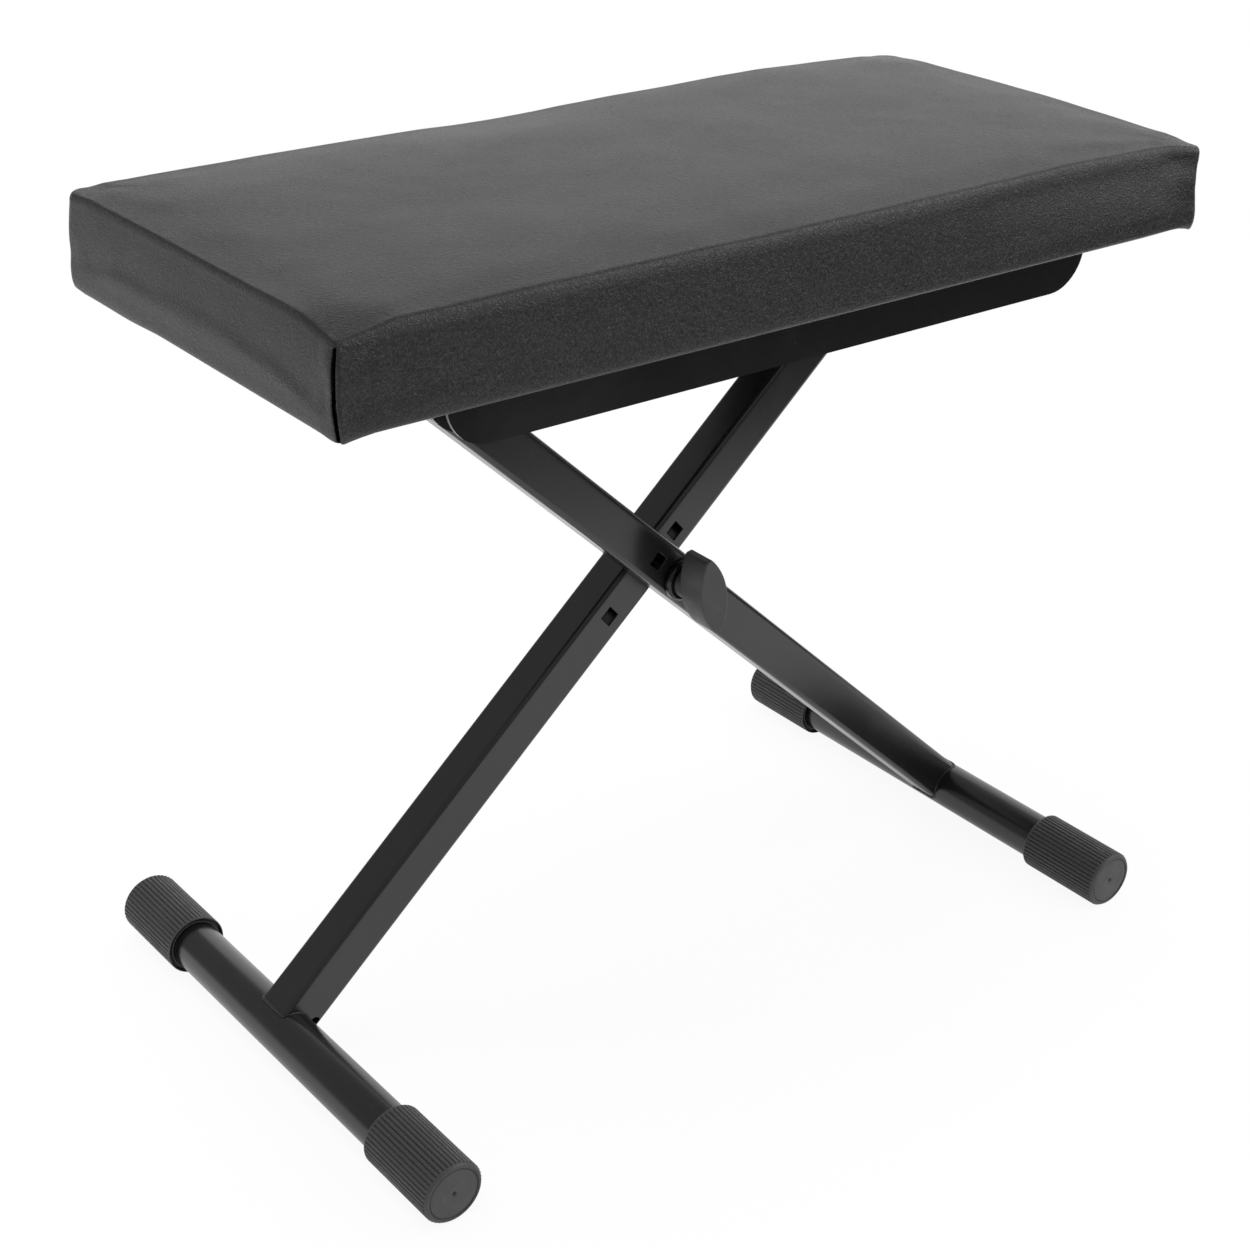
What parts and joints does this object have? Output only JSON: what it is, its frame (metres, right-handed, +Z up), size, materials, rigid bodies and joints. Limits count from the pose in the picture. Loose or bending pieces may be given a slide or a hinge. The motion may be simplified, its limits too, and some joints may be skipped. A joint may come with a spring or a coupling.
{
  "type": "folding keyboard bench",
  "caption": "Padded folding bench on two crossed tube legs that fold flat, with a bolt and wing knob that set the height.",
  "frame": {"origin": "on the floor, under the middle of the object's bounding box", "axes": "+Z up, +X along the seat's length, -Y towards the side with the knob"},
  "size_m": [0.6, 0.346, 0.5032],
  "materials": {
    "leatherette": "satin",
    "foam": "matte",
    "plywood": "matte",
    "non_woven": "matte",
    "powder_coat": "satin",
    "black_plastic": "matte",
    "zinc": "satin",
    "nylon": "matte"
  },
  "bodies": {
    "seat": {"seat_cover": "leatherette", "seat_foam": "foam", "seat_board": "plywood", "dust_cover": "non_woven", "front_rail": "powder_coat", "rear_rail": "powder_coat", "front_rail_screw_1": "zinc", "front_rail_screw_2": "zinc", "front_rail_screw_3": "zinc", "rear_rail_screw_1": "zinc", "rear_rail_screw_2": "zinc", "rear_rail_screw_3": "zinc"},
    "leg_a": {"leg_a_tube": "powder_coat", "leg_a_cross_tube": "powder_coat", "leg_a_top_weld": "powder_coat", "leg_a_foot_weld": "powder_coat", "leg_a_foot_bar": "powder_coat", "leg_a_cap_1": "black_plastic", "leg_a_end_plug_1": "zinc", "leg_a_nylon_washer_1": "nylon", "leg_a_washer_1": "zinc", "leg_a_pivot_bolt_1": "zinc", "leg_a_cap_2": "black_plastic", "leg_a_end_plug_2": "zinc", "leg_a_nylon_washer_2": "nylon", "leg_a_washer_2": "zinc", "leg_a_pivot_bolt_2": "zinc", "leg_spacer": "nylon"},
    "leg_b": {"leg_b_tube": "powder_coat", "leg_b_cross_tube": "powder_coat", "leg_b_top_weld": "powder_coat", "leg_b_foot_weld": "powder_coat", "leg_b_foot_bar": "powder_coat", "leg_b_cap_1": "black_plastic", "leg_b_end_plug_1": "zinc", "leg_b_nylon_washer_1": "nylon", "leg_b_washer_1": "zinc", "leg_b_pivot_bolt_1": "zinc", "leg_b_cap_2": "black_plastic", "leg_b_end_plug_2": "zinc", "leg_b_nylon_washer_2": "nylon", "leg_b_washer_2": "zinc", "leg_b_pivot_bolt_2": "zinc", "cross_bolt_thread": "zinc"},
    "bolt": {"cross_bolt_head": "zinc"},
    "collar": {"knob_collar": "black_plastic"},
    "knob": {"knob": "black_plastic", "knob_insert": "zinc"}
  },
  "joints": [
    {"name": "leg_a_fold", "type": "hinge", "parent": "seat", "child": "leg_a", "pos_m": [0.1945, 0, 0.431], "axis": [0, 1, 0], "range_deg": [-8, 37.8]},
    {"name": "leg_b_fold", "type": "hinge", "parent": "seat", "child": "leg_b", "pos_m": [-0.1945, 0, 0.431], "axis": [0, -1, 0], "range_deg": [-8, 37.8]},
    {"name": "bolt_pull", "type": "slide", "parent": "leg_a", "child": "bolt", "axis": [0, 1, 0], "range_m": [0, 0.06]},
    {"name": "knob_travel", "type": "slide", "parent": "leg_b", "child": "collar", "axis": [0, -1, 0], "range_m": [0, 0.01875]},
    {"name": "knob_turn", "type": "hinge", "parent": "collar", "child": "knob", "pos_m": [0, -0.04, 0.25472], "axis": [0, -1, 0], "range_deg": [0, 5400]}
  ],
  "couplings": [
    {"joint": "knob_travel", "follows": "knob_turn", "m_per_rad": 0.00019894}
  ]
}
